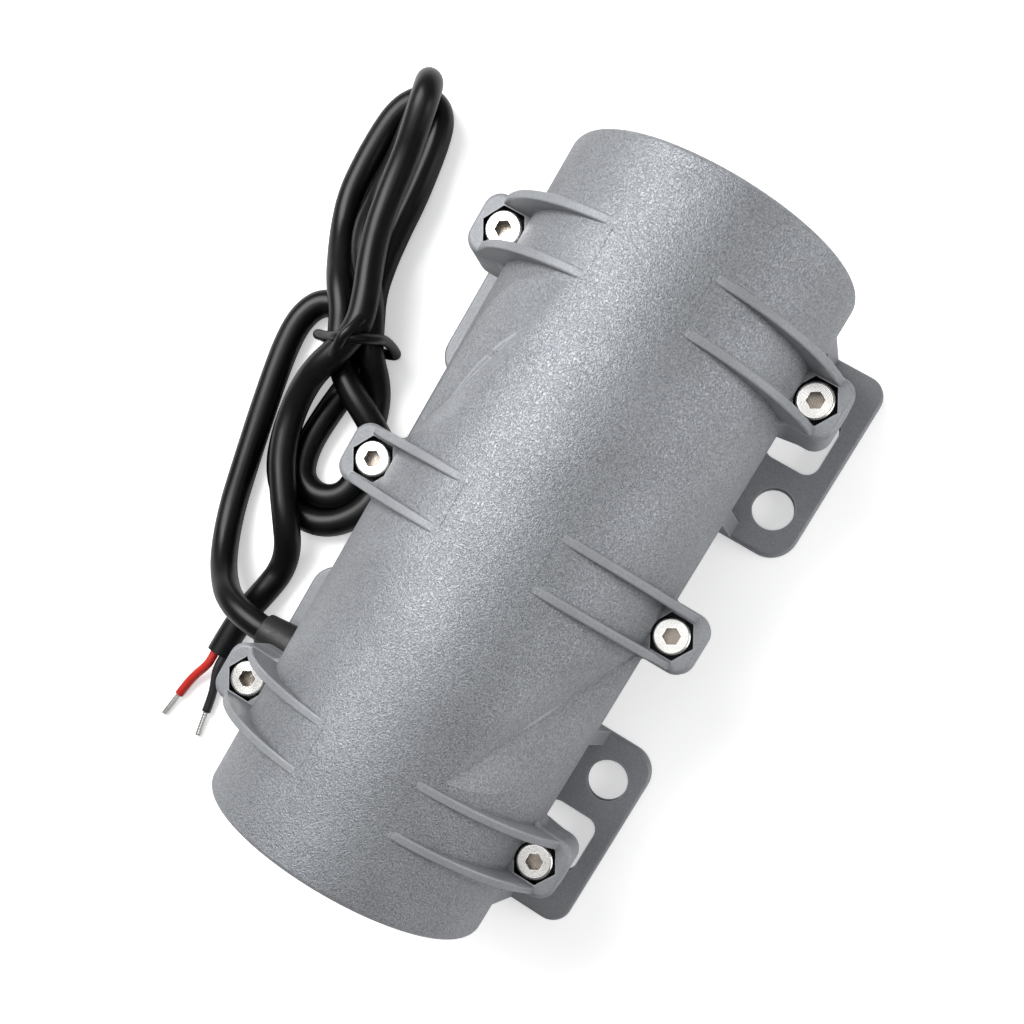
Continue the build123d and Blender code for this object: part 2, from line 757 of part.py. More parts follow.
# Rubber cord entry, moulded on the cord: an inner flange, a neck through the boss and a tapered boot.
boot_end = boss_face + outer_flange + boot_length
with BuildPart() as cord_entry:
    with BuildSketch(entry_plane.offset(boss_floor - inner_flange)):
        Circle(inner_flange_radius)
    extrude(amount=inner_flange)
    with BuildSketch(entry_plane.offset(boss_floor)):
        Circle(neck_radius)
    extrude(amount=boss_face - boss_floor)
    with BuildSketch(entry_plane.offset(boss_face)):
        Circle(outer_flange_radius)
    extrude(amount=outer_flange)
    with BuildSketch(entry_plane.offset(boss_face + outer_flange)):
        Circle(neck_radius + 0.4)
    with BuildSketch(entry_plane.offset(boot_end)):
        Circle(boot_tip_radius)
    loft()
    fillet(cord_entry.edges().group_by(Axis.Y)[-1], 0.4)
save(cord_entry, "cord_entry")


def tube(points, radii, diameter, name):
    """A round tube along straight runs joined by tangent arcs."""
    with BuildPart() as made:
        with BuildLine() as path:
            FilletPolyline(*points, radius=radii)
        with BuildSketch(Plane(origin=path.wire() @ 0, z_dir=path.wire() % 0)):
            Circle(diameter / 2)
        sweep()
    section = pi * diameter**2 / 4
    length = path.wire().length
    print(f"{name}: length {length:.1f}, volume share {made.part.volume / section / length:.4f}")
    return made


def corner_radii(points):
    """The largest arc at each corner that leaves each run a tenth of its length straight."""
    places = [Vector(*point) for point in points]
    radii = []
    for before, corner, after in zip(places, places[1:], places[2:]):
        turn = (corner - before).get_angle(after - corner)
        run = min((corner - before).length, (after - corner).length)
        radii.append(0.45 * run / tan(radians(turn / 2)))
    return radii


# Insulated leads from the cord entry to the two brush boxes.
lead_start = boss_floor - inner_flange
lead_x = -(bearing_station - hub_length / 2) + lead_diameter / 2 + shield_gap
box_face = plate_face - box_width
for name, side, low_point in (
    ("positive_lead", 1, (13.0, 4.5)),
    ("negative_lead", -1, (12.0, -20.3)),
):
    start_z = entry_z + side * (lead_diameter / 2 + 0.4)
    terminal_z = axis_height + side * (box_top - 4.0)
    route = [
        (lead_x, lead_start, start_z),
        (lead_x, lead_start - 4.5, start_z),
        (lead_x + 0.2, low_point[0], axis_height + low_point[1]),
        (lead_x + 0.3, 4.0, terminal_z - 0.6),
        (lead_x + 1.0, 0.4, terminal_z),
        (box_face - 1.6, 0, terminal_z),
        (box_face - 0.02, 0, terminal_z),
    ]
    radii = corner_radii(route)
    save(tube(route, radii, lead_diameter, name), name)

# Supply cord from its entry down to the surface and along it to the hank.
cord_route = [
    (entry_station, boot_end, entry_z),
    (entry_station, boot_end + 8.2, entry_z),
    (entry_station + 4.5, boot_end + 18.5, cord_radius + 5.0),
    (entry_station + 15.5, boot_end + 25.2, cord_radius + 0.3),
    (entry_station + 29.5, boot_end + 28.4, cord_radius + 0.1),
    (entry_station + 43.0, boot_end + 31.2, cord_radius + 0.1),
    (entry_station + 54.5, boot_end + 33.2, cord_radius + 0.1),
]
radii = corner_radii(cord_route)
print("supply_cord corner radii", [round(radius, 1) for radius in radii])
save(tube(cord_route, radii, cord_diameter, "supply_cord"), "supply_cord")

# Hank: the outer shape of the tied turns, with two lobes, a waist where the tie sits
# and the fold in which the cord turns back beside the tie.
hank_direction = (cos(radians(hank_angle)), sin(radians(hank_angle)), 0)
hank_plane = Plane(origin=(*hank_centre, 0), x_dir=hank_direction, z_dir=(0, 0, 1))
waist = (0, 0, waist_radius)
hank_outlines = (
    (hank_height, (waist,)),
    (lobe_height, (waist, (24, 4.6, 11.7), (42, 1.4, 11.0), (54.5, 0, 8.0))),
    (lobe_height, (waist, (-14, 2.6, 11.0), (-30, -0.4, 14.0))),
    (fold_height, (waist, (-0.5, 10.6, 8.4))),
)
tie_plane = Plane(origin=(*hank_centre, hank_height / 2), x_dir=(0, 0, 1), z_dir=hank_direction)
hank_lobes = []
for height, circles in hank_outlines:
    with BuildPart() as lobe:
        with BuildSketch(hank_plane):
            if len(circles) == 1:
                Circle(waist_radius)
            else:
                with BuildLine():
                    for along, across, radius in circles:
                        CenterArc((along, across), radius, 0, 360)
                make_hull()
        extrude(amount=height)
        fillet(lobe.edges().group_by(Axis.Z)[-1], hank_edge)
    hank_lobes.append(lobe.part)
with BuildPart() as cord_hank:
    for lobe_solid in hank_lobes:
        add(lobe_solid)
    neck_inset = 2 * (tie_thickness + tie_gap)
    with BuildSketch(tie_plane.offset(-tie_width / 2 - tie_gap)):
        Rectangle(hank_height + 2 * tie_gap, 2 * (waist_radius + tie_gap))
        Rectangle(hank_height - neck_inset, 2 * waist_radius - neck_inset, mode=Mode.SUBTRACT)
    extrude(amount=tie_width + 2 * tie_gap, mode=Mode.SUBTRACT)
save(cord_hank, "cord_hank")

# Tie drawn round the waist of the hank.
with BuildPart() as cord_tie:
    with BuildSketch(tie_plane.offset(-tie_width / 2)):
        RectangleRounded(hank_height, 2 * waist_radius, tie_width)
        Rectangle(hank_height - 2 * tie_thickness, 2 * (waist_radius - tie_thickness), mode=Mode.SUBTRACT)
    extrude(amount=tie_width)
save(cord_tie, "cord_tie")

# Tail of the cord, from the far lobe of the hank, and its two bared cores with tinned ends.
tail_route = [
    (-18.0, 49.6, cord_radius + 0.1),
    (-27.0, 50.2, cord_radius + 0.1),
    (-36.5, 51.6, cord_radius + 0.1),
    (-46.0, 54.0, cord_radius + 0.1),
    (-55.5, 54.0, cord_radius + 0.1),
]
radii = corner_radii(tail_route)
print("cord_tail corner radii", [round(radius, 1) for radius in radii])
save(tube(tail_route, radii, cord_diameter, "cord_tail"), "cord_tail")
tail_x, tail_y, tail_z = tail_route[-1]
for name, side, spread in (("red_core", 1, 3.2), ("black_core", -1, 2.2)):
    core_y = tail_y + side * core_offset
    core_route = [
        (tail_x, core_y, tail_z),
        (tail_x - 3.5, core_y, tail_z),
        (tail_x - 8.5, core_y + side * spread * 0.7, core_diameter / 2 + 0.9),
        (tail_x - 13.5, core_y + side * spread, core_diameter / 2 + 0.4),
    ]
    save(tube(core_route, corner_radii(core_route), core_diameter, name), name)
    tip = Vector(*core_route[-1])
    tip_direction = tip - Vector(*core_route[-2])
    with BuildPart() as tinned_end:
        with BuildSketch(Plane(origin=tip, z_dir=tip_direction)):
            Circle(tinned_diameter / 2)
        extrude(amount=tinned_length)
    save(tinned_end, name.replace("core", "core_tip"))
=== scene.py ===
import bpy
import json
import math
from mathutils import Matrix, Vector


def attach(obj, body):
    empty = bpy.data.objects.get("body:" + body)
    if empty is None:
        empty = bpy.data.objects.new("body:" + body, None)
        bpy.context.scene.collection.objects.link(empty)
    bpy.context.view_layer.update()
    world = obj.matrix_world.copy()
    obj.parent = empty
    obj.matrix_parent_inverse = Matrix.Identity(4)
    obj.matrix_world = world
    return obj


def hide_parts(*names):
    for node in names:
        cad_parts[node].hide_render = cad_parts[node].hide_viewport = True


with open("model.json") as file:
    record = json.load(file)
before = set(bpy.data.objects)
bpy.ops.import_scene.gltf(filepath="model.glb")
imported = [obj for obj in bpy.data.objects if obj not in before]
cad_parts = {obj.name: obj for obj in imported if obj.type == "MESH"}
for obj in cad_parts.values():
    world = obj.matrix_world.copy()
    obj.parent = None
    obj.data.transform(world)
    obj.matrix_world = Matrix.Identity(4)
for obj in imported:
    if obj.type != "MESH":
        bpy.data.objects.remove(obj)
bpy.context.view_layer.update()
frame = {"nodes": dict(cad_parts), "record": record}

MM = 0.001
AXIS_HEIGHT = 33.5 * MM
BARREL_RADIUS = 30.0 * MM
BOLT_SPACING = 49.0 * MM
BOLT_OFFSET = 33.0 * MM
CORD_RADIUS = 3.0 * MM

# Camera: stands where the photograph was taken from, looking down on the motor's top and right side.
# The lens is shifted, as in the photograph, which is a part of a wider picture.
camera_data = bpy.data.cameras.new("camera")
camera = bpy.data.objects.new("camera", camera_data)
bpy.context.collection.objects.link(camera)
view_right = Vector((0.5078, -0.8415, -0.1846)).normalized()
view_ahead = Vector((-0.1078, 0.1505, -0.9827))
view_ahead = (view_ahead - view_right * view_ahead.dot(view_right)).normalized()
view_up = view_right.cross(view_ahead)
rotation = Matrix((view_right, view_up, -view_ahead)).transposed()
camera.matrix_world = Matrix.Translation((0.0003, -0.0435, 0.2694)) @ rotation.to_4x4()
camera_data.sensor_width = 36.0
camera_data.lens = 43.66
camera_data.shift_x = 0.0223
camera_data.shift_y = 0.1668
camera_data.clip_start = 0.01
scene = bpy.context.scene
scene.camera = camera


def put(tree, kind, inputs=(), **settings):
    """Adds a node with its settings. Each input is a value, or the socket that feeds it."""
    node = tree.nodes.new(kind)
    for name, value in settings.items():
        setattr(node, name, value)
    for name, value in dict(inputs).items():
        if isinstance(value, bpy.types.NodeSocket):
            tree.links.new(value, node.inputs[name])
        else:
            node.inputs[name].default_value = value
    return node


def calculate(tree, operation, *values):
    """The result of a Math node on sockets and numbers."""
    return put(tree, "ShaderNodeMath", enumerate(values), operation=operation).outputs[0]


def spread(tree, value, low, high, to_low=0.0, to_high=1.0):
    """A value's range mapped on another, and held at its ends."""
    inputs = {"Value": value, "From Min": low, "From Max": high, "To Min": to_low, "To Max": to_high}
    return put(tree, "ShaderNodeMapRange", inputs).outputs["Result"]


def blend_colours(tree, factor, first, second, blend="MIX"):
    """Two colours mixed by a factor."""
    inputs = {0: factor, 6: first, 7: second}
    return put(tree, "ShaderNodeMix", inputs, data_type="RGBA", blend_type=blend).outputs[2]


def new_material(name, roughness, metallic=0.0, specular=0.5):
    """A material with its shader's plain values set."""
    material = bpy.data.materials.new(name)
    material.use_nodes = True
    shader = material.node_tree.nodes["Principled BSDF"]
    shader.inputs["Roughness"].default_value = roughness
    shader.inputs["Metallic"].default_value = metallic
    shader.inputs["Specular IOR Level"].default_value = specular
    return material, material.node_tree, shader


def new_effect(name, inputs, outputs):
    """An empty node group with its sockets, for an effect that several materials share."""
    group = bpy.data.node_groups.new(name, "ShaderNodeTree")
    for name_in, start in inputs.items():
        socket = group.interface.new_socket(name_in, in_out="INPUT", socket_type="NodeSocketFloat")
        socket.default_value = start
    for name_out in outputs:
        group.interface.new_socket(name_out, in_out="OUTPUT", socket_type="NodeSocketFloat")
    return group, group.nodes.new("NodeGroupInput"), group.nodes.new("NodeGroupOutput")


# Grain: the fine worm-like skin of a casting or moulding, with softer blotches in it.
grain_effect, grain_in, grain_out = new_effect("grain", {"Scale": 1000.0}, ("Height", "Blotches"))
place = put(grain_effect, "ShaderNodeTexCoord").outputs["Object"]
worms = put(grain_effect, "ShaderNodeTexNoise", {
    "Vector": place, "Scale": grain_in.outputs["Scale"],
    "Detail": 2.0, "Roughness": 0.55, "Distortion": 0.9})
pit_scale = calculate(grain_effect, "MULTIPLY", grain_in.outputs["Scale"], 1.3)
pits = put(grain_effect, "ShaderNodeTexVoronoi", {"Vector": place, "Scale": pit_scale}, feature="SMOOTH_F1")
worm_height = spread(grain_effect, worms.outputs[0], 0.36, 0.64)
pit_height = spread(grain_effect, pits.outputs["Distance"], 0.1, 0.6)
grain_effect.links.new(
    calculate(grain_effect, "ADD", calculate(grain_effect, "MULTIPLY", worm_height, 0.65),
              calculate(grain_effect, "MULTIPLY", pit_height, 0.35)), grain_out.inputs["Height"])
clouds = put(grain_effect, "ShaderNodeTexNoise", {"Vector": place, "Scale": 70.0, "Detail": 3.0})
grain_effect.links.new(spread(grain_effect, clouds.outputs[0], 0.35, 0.65), grain_out.inputs["Blotches"])

# Edge highlight: finds the convex corners of a piece, along which a painted highlight is laid.
edge_highlight_effect, edge_in, edge_out = new_effect("edge_highlight", {"Width": 0.0004}, ("Highlight",))
rounded = put(edge_highlight_effect, "ShaderNodeBevel", {"Radius": edge_in.outputs["Width"]}, samples=3)
flat = put(edge_highlight_effect, "ShaderNodeNewGeometry")
agreement = put(edge_highlight_effect, "ShaderNodeVectorMath",
                {0: rounded.outputs[0], 1: flat.outputs["Normal"]}, operation="DOT_PRODUCT")
edge_highlight_effect.links.new(spread(edge_highlight_effect, agreement.outputs["Value"], 0.985, 0.86), edge_out.inputs["Highlight"])

# Turning marks: the fine rings that a lathe leaves round the shaft's axis, on faces and rims alike.
turned_effect, turned_in, turned_out = new_effect("turning_marks", {"Scale": 900.0}, ("Height",))
place = put(turned_effect, "ShaderNodeTexCoord").outputs["Object"]
centred = put(turned_effect, "ShaderNodeVectorMath", {0: place, 1: (0, 0, -AXIS_HEIGHT)}, operation="ADD")
rings = put(turned_effect, "ShaderNodeTexWave", {
    "Vector": centred.outputs[0], "Scale": turned_in.outputs["Scale"], "Distortion": 0.4, "Detail": 1.0},
    wave_type="RINGS", rings_direction="X")
bands = put(turned_effect, "ShaderNodeTexWave", {
    "Vector": centred.outputs[0], "Scale": turned_in.outputs["Scale"], "Distortion": 0.4, "Detail": 1.0},
    wave_type="BANDS", bands_direction="X")
turned_height = calculate(turned_effect, "ADD", rings.outputs[1], bands.outputs[1])
turned_effect.links.new(turned_height, turned_out.inputs["Height"])

# Nearest bolt: how far a point lies from the axis of the clamp screw next to it, and in which direction.
bolt_effect, _, bolt_out = new_effect("nearest_bolt", {}, ("Along", "Across", "Distance"))
place = put(bolt_effect, "ShaderNodeTexCoord").outputs["Object"]
axes = put(bolt_effect, "ShaderNodeSeparateXYZ", {0: place})
spacings = calculate(bolt_effect, "DIVIDE", axes.outputs["X"], BOLT_SPACING)
bolt_station = calculate(bolt_effect, "MULTIPLY", calculate(bolt_effect, "ROUND", spacings), BOLT_SPACING)
along_from_bolt = calculate(bolt_effect, "SUBTRACT", axes.outputs["X"], bolt_station)
across_from_bolt = calculate(
    bolt_effect, "SUBTRACT", calculate(bolt_effect, "ABSOLUTE", axes.outputs["Y"]), BOLT_OFFSET)
from_bolt = put(bolt_effect, "ShaderNodeCombineXYZ", {"X": along_from_bolt, "Y": across_from_bolt})
from_bolt_length = put(bolt_effect, "ShaderNodeVectorMath", {0: from_bolt.outputs[0]}, operation="LENGTH")
bolt_effect.links.new(along_from_bolt, bolt_out.inputs["Along"])
bolt_effect.links.new(across_from_bolt, bolt_out.inputs["Across"])
bolt_effect.links.new(from_bolt_length.outputs["Value"], bolt_out.inputs["Distance"])


def use_effect(tree, effect, **inputs):
    """Adds a shared effect to a material's nodes."""
    node = tree.nodes.new("ShaderNodeGroup")
    node.node_tree = effect
    for name, value in inputs.items():
        node.inputs[name].default_value = value
    return node


def finish_shader(tree, shader, colour, roughness, height, strength, depth, normal=None):
    """Feeds a shader its colour, roughness and bump, on the piece's own normal or on one given."""
    tree.links.new(colour, shader.inputs["Base Color"])
    tree.links.new(roughness, shader.inputs["Roughness"])
    bump = put(tree, "ShaderNodeBump", {"Height": height, "Strength": strength, "Distance": depth})
    if normal is not None:
        tree.links.new(normal, bump.inputs["Normal"])
    tree.links.new(bump.outputs[0], shader.inputs["Normal"])


# Cord jacket: satin black vinyl, slightly uneven in shade and gloss.
jacket, tree, shader = new_material("cord_jacket", 0.34, specular=0.3)
grain = use_effect(tree, grain_effect, Scale=1400.0)
colour = blend_colours(
    tree, grain.outputs["Blotches"], (0.0018, 0.0018, 0.0021, 1), (0.004, 0.004, 0.0046, 1))
roughness = spread(tree, grain.outputs["Blotches"], 0.0, 1.0, 0.3, 0.37)
finish_shader(tree, shader, colour, roughness, grain.outputs["Height"], 0.05, 0.00002)

# Cord: from its entry down to the surface and along it, folded back through the tie,
# then round the lower lobe, two upper loops with one more lower turn between them, and the tail.
HANK_CENTRE = Vector((20.5, 61.0, 0.0))
HANK_ANGLE = math.radians(13.4)


def on_hank(along, across, height):
    """A point of the hank, in millimetres along and across its length, as a point of the scene."""
    turn = Matrix.Rotation(HANK_ANGLE, 3, "Z")
    return (HANK_CENTRE + turn @ Vector((along, across, height))) * MM


route_to_hank = [
    (-43.0, 42.8, 17.5),
    (-43.0, 51.0, 17.5),
    (-38.5, 61.3, 8.0),
    (-27.5, 68.0, 3.3),
    (-13.5, 71.2, 3.1),
    (0.0, 74.0, 3.1),
    (11.5, 76.0, 3.1),
]
fold_beside_tie = [
    (1.6, 15.2, 3.1),
    (6.0, 12.0, 3.1),
    (7.0, 7.4, 3.1),
    (4.0, 3.6, 3.1),
    (-1.6, 4.0, 3.1),
]
first_lower_turn = [
    (-8.0, 8.4, 3.1),
    (-15.0, 10.3, 3.1),
    (-23.5, 11.1, 3.1),
    (-32.5, 10.0, 3.1),
    (-39.8, 4.6, 3.1),
    (-41.2, -4.0, 3.1),
    (-36.2, -11.6, 3.1),
    (-28.0, -14.8, 3.1),
    (-21.0, -13.4, 5.8),
    (-16.0, -8.8, 9.4),
    (-10.5, -2.4, 9.8),
    (-5.0, 1.6, 9.5),
    (0.0, 2.6, 9.2),
]
first_upper_loop = [
    (5.0, 3.8, 9.4),
    (10.0, 6.4, 8.6),
    (15.6, 9.0, 5.6),
    (23.0, 11.4, 3.1),
    (30.5, 12.0, 3.1),
    (38.0, 10.7, 3.1),
    (44.6, 9.0, 3.1),
    (49.2, 7.4, 3.1),
    (52.4, 5.2, 3.1),
    (54.2, 2.3, 3.1),
    (53.8, -1.0, 3.1),
    (51.0, -3.1, 3.1),
    (46.4, -3.4, 3.1),
    (40.5, -3.0, 3.1),
    (33.0, -2.2, 3.1),
    (26.0, -0.9, 3.1),
    (18.0, 0.2, 3.1),
    (11.0, 0.4, 3.1),
    (4.5, -1.2, 3.1),
]
second_lower_turn = [
    (-3.0, -3.0, 3.1),
    (-10.5, 0.2, 3.1),
    (-17.5, 2.8, 3.1),
    (-24.5, 4.8, 3.1),
    (-30.3, 4.8, 3.1),
    (-33.2, 2.9, 3.1),
    (-34.8, 0.0, 3.1),
    (-34.8, -3.4, 3.1),
    (-33.1, -6.4, 3.1),
    (-30.0, -8.1, 3.1),
    (-24.0, -8.6, 3.1),
    (-18.0, -8.1, 3.1),
    (-12.0, -7.9, 3.3),
    (-7.5, -7.0, 5.2),
    (-3.5, -5.2, 8.4),
    (0.5, -3.9, 9.4),
]
second_upper_loop = [
    (5.5, -2.8, 9.4),
    (11.0, -0.2, 9.3),
    (18.0, 3.2, 8.7),
    (24.0, 4.9, 6.8),
    (30.0, 5.0, 4.4),
    (36.0, 4.4, 3.6),
    (42.0, 3.2, 3.7),
    (48.6, 1.4, 6.2),
    (52.2, 0.3, 8.4),
    (54.0, -0.8, 11.2),
    (54.0, -2.1, 14.4),
    (52.2, -3.3, 17.2),
    (48.8, -3.9, 18.9),
    (43.6, -3.2, 17.4),
    (37.6, -2.0, 14.9),
    (30.0, -0.6, 13.6),
    (22.6, -0.2, 13.7),
    (15.3, -1.0, 14.4),
    (7.6, -2.6, 15.2),
    (1.5, -3.0, 15.3),
]
tail_over_turns = [
    (-4.5, -0.6, 15.8),
    (-9.5, 3.6, 14.4),
    (-14.5, 6.8, 11.0),
    (-21.0, 8.4, 9.0),
    (-29.0, 7.8, 8.9),
    (-36.0, 5.2, 9.2),
    (-42.5, 2.4, 9.2),
    (-48.0, 1.4, 5.8),
]
route_of_tail = [
    (-31.5, 51.0, 3.1),
    (-36.5, 51.6, 3.1),
    (-46.0, 54.0, 3.1),
    (-55.5, 54.0, 3.1),
]
on_hank_points = (fold_beside_tie + first_lower_turn + first_upper_loop + second_lower_turn
                  + second_upper_loop + tail_over_turns)
cord_points = [Vector(point) * MM for point in route_to_hank]
cord_points += [on_hank(*point) for point in on_hank_points]
cord_points += [Vector(point) * MM for point in route_of_tail]


def smooth_cord(name, points, radius, around, along, closed=False):
    """A round black cord on a smooth line through a route, riding on the housing."""
    curve = bpy.data.curves.new(name, "CURVE")
    curve.dimensions = "3D"
    curve.bevel_depth = radius
    curve.bevel_resolution = around
    curve.resolution_u = along
    curve.use_fill_caps = True
    spline = curve.splines.new("NURBS")
    spline.points.add(len(points) - 1)
    for point, place in zip(spline.points, points):
        point.co = (*place, 1.0)
    spline.order_u = 3
    spline.use_endpoint_u = not closed
    spline.use_cyclic_u = closed
    piece = bpy.data.objects.new(name, curve)
    bpy.context.collection.objects.link(piece)
    piece.data.materials.append(jacket)
    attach(piece, "housing")
    return piece


cord = smooth_cord("cord", cord_points, CORD_RADIUS, around=8, along=10)
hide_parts("supply_cord", "cord_hank", "cord_tail")

# Tie: a thin black cord wound once round the waist of the hank and crossed over its front.
TIE_RADIUS = 1.1 * MM
round_the_waist = [
    (-0.6, -4.0, 1.2),
    (-0.4, -8.6, 1.4),
    (0.2, -8.8, 6.0),
    (0.6, -8.2, 12.2),
    (-0.8, -7.6, 17.0),
    (-2.2, -4.4, 20.0),
    (-2.6, -0.8, 19.4),
    (-2.6, 2.6, 15.6),
    (-2.2, 6.2, 12.6),
    (-1.6, 8.0, 8.6),
    (-1.0, 9.0, 4.4),
    (-0.8, 8.4, 1.3),
    (-0.6, 4.0, 1.2),
]
crossed_ends = [
    (-6.2, -0.2, 18.0),
    (-4.8, -1.6, 20.2),
    (-2.4, -2.4, 21.2),
    (-0.4, -3.8, 21.0),
    (2.4, -4.6, 19.6),
]
wrap_points = [on_hank(*point) for point in round_the_waist]
tie_wrap = smooth_cord("tie_wrap", wrap_points, TIE_RADIUS, around=6, along=12, closed=True)
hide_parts("cord_tie")
knot_points = [on_hank(*point) for point in crossed_ends]
tie_knot = smooth_cord("tie_knot", knot_points, TIE_RADIUS, around=6, along=12)

# Housing: satin grey casting. Its ribs and lugs are smoother than the grained barrel, its convex corners
# have a painted highlight, its inside corners painted shade, and the deep pockets round the screw heads are
# painted black as shade.
# The barrel is shaded on its true round form.
POCKET_RADIUS = 4.7 * MM
POCKET_FLOOR = 2.8 * MM
POCKET_RIM = 6.35 * MM
housing, tree, shader = new_material("cast_housing", 0.5, specular=0.4)
place = put(tree, "ShaderNodeTexCoord").outputs["Object"]
axes = put(tree, "ShaderNodeSeparateXYZ", {0: place})
above_axis = calculate(tree, "SUBTRACT", axes.outputs["Z"], AXIS_HEIGHT)
across = put(tree, "ShaderNodeCombineXYZ", {"Y": axes.outputs["Y"], "Z": above_axis})
distance = put(tree, "ShaderNodeVectorMath", {0: across.outputs[0]}, operation="LENGTH").outputs["Value"]
raised = spread(tree, distance, BARREL_RADIUS + 0.15 * MM, BARREL_RADIUS + 0.5 * MM)
bolt = use_effect(tree, bolt_effect)
near_bolt = calculate(tree, "LESS_THAN", bolt.outputs["Distance"], POCKET_RADIUS)
above_floor = calculate(tree, "GREATER_THAN", above_axis, POCKET_FLOOR)
under_rim = calculate(tree, "LESS_THAN", above_axis, POCKET_RIM)
painted_pocket_shade = calculate(tree, "MULTIPLY", calculate(tree, "MULTIPLY", near_bolt, above_floor), under_rim)
outward = put(tree, "ShaderNodeVectorMath", {0: across.outputs[0]}, operation="NORMALIZE").outputs["Vector"]
surface = put(tree, "ShaderNodeNewGeometry")
facing_out = put(tree, "ShaderNodeVectorMath", {0: outward, 1: surface.outputs["True Normal"]},
                 operation="DOT_PRODUCT").outputs["Value"]
on_barrel = calculate(tree, "MULTIPLY", calculate(tree, "GREATER_THAN", facing_out, 0.6),
                      calculate(tree, "COMPARE", distance, BARREL_RADIUS - 0.1 * MM, 0.35 * MM))
round_normal = put(tree, "ShaderNodeMix", {0: on_barrel, 4: surface.outputs["Normal"], 5: outward},
                   data_type="VECTOR").outputs[1]
tree.links.new(spread(tree, on_barrel, 0.0, 1.0, 0.2, 0.6), shader.inputs["Metallic"])
grain = use_effect(tree, grain_effect, Scale=2700.0)
edge_highlight = use_effect(tree, edge_highlight_effect, Width=0.0005)
corner_highlight = calculate(tree, "MULTIPLY", edge_highlight.outputs[0], calculate(tree, "SUBTRACT", 1.0, on_barrel))
corners = put(tree, "ShaderNodeAmbientOcclusion", {"Distance": 2.5 * MM, "Normal": round_normal}, samples=4,
              only_local=True)
colour = blend_colours(tree, grain.outputs["Height"], (0.165, 0.173, 0.188, 1), (0.35, 0.362, 0.382, 1))
colour = blend_colours(tree, calculate(tree, "MULTIPLY", raised, 0.6), colour, (0.262, 0.27, 0.287, 1))
cloudy = spread(tree, grain.outputs["Blotches"], 0.0, 1.0, 0.93, 1.06)
cloudy_colour = put(tree, "ShaderNodeCombineXYZ", {"X": cloudy, "Y": cloudy, "Z": cloudy}).outputs[0]
colour = blend_colours(tree, 1.0, colour, cloudy_colour, "MULTIPLY")
# Painted highlight: convex corners off the barrel are painted lighter.
colour = blend_colours(tree, calculate(tree, "MULTIPLY", corner_highlight, 0.7), colour, (0.5, 0.51, 0.53, 1))
# Painted shade: corners and hollows that ambient occlusion finds are painted darker.
painted_corner_shade = spread(tree, corners.outputs["AO"], 0.75, 0.2, 0.0, 0.7)
colour = blend_colours(tree, painted_corner_shade, colour, (0.06, 0.062, 0.068, 1))
# Painted shade: the pockets round the screw heads are painted near black, as the shade in them.
colour = blend_colours(tree, painted_pocket_shade, colour, (0.004, 0.004, 0.005, 1))
roughness = spread(tree, grain.outputs["Height"], 0.0, 1.0, 0.54, 0.44)
smooth_grain = calculate(tree, "MULTIPLY", grain.outputs["Height"], spread(tree, raised, 0.0, 1.0, 1.0, 0.3))
finish_shader(tree, shader, colour, roughness, smooth_grain, 0.8, 0.00008, round_normal)

# Clamp screws: bright stainless, with turning rings on the head, a knurled side, a dim socket and a painted
# highlight along the head's convex corners.
HEAD_RADIUS = 3.5 * MM
HEAD_TOP = AXIS_HEIGHT + 7.0 * MM
SOCKET_RADIUS = 1.76 * MM
RINGS_PER_METRE = 26000.0
KNURLS = 36.0
screws, tree, shader = new_material("screw_steel", 0.2, metallic=1.0)
place = put(tree, "ShaderNodeTexCoord").outputs["Object"]
axes = put(tree, "ShaderNodeSeparateXYZ", {0: place})
bolt = use_effect(tree, bolt_effect)
bolt_distance = bolt.outputs["Distance"]
ring_marks = calculate(tree, "SINE", calculate(tree, "MULTIPLY", bolt_distance, RINGS_PER_METRE))
angle = calculate(tree, "ARCTAN2", bolt.outputs["Across"], bolt.outputs["Along"])
knurls = calculate(tree, "SINE", calculate(tree, "MULTIPLY", angle, KNURLS))
on_side = spread(tree, bolt_distance, HEAD_RADIUS - 0.08 * MM, HEAD_RADIUS - 0.02 * MM)
in_socket = calculate(tree, "MULTIPLY", calculate(tree, "LESS_THAN", bolt_distance, SOCKET_RADIUS),
                      calculate(tree, "LESS_THAN", axes.outputs["Z"], HEAD_TOP - 0.05 * MM))
grain = use_effect(tree, grain_effect, Scale=2600.0)
edge_highlight = use_effect(tree, edge_highlight_effect, Width=0.0003)
colour = blend_colours(tree, grain.outputs["Blotches"], (0.62, 0.61, 0.59, 1), (0.72, 0.71, 0.69, 1))
# Painted highlight: the head's convex corners are painted lighter.
colour = blend_colours(tree, edge_highlight.outputs[0], colour, (0.86, 0.85, 0.83, 1))
colour = blend_colours(tree, in_socket, colour, (0.26, 0.23, 0.2, 1))
roughness = spread(tree, grain.outputs["Height"], 0.0, 1.0, 0.18, 0.3)
marks = calculate(tree, "ADD", calculate(tree, "MULTIPLY", ring_marks, 0.12),
                  calculate(tree, "MULTIPLY", knurls, on_side))
finish_shader(tree, shader, colour, roughness, marks, 0.35, 0.0001)

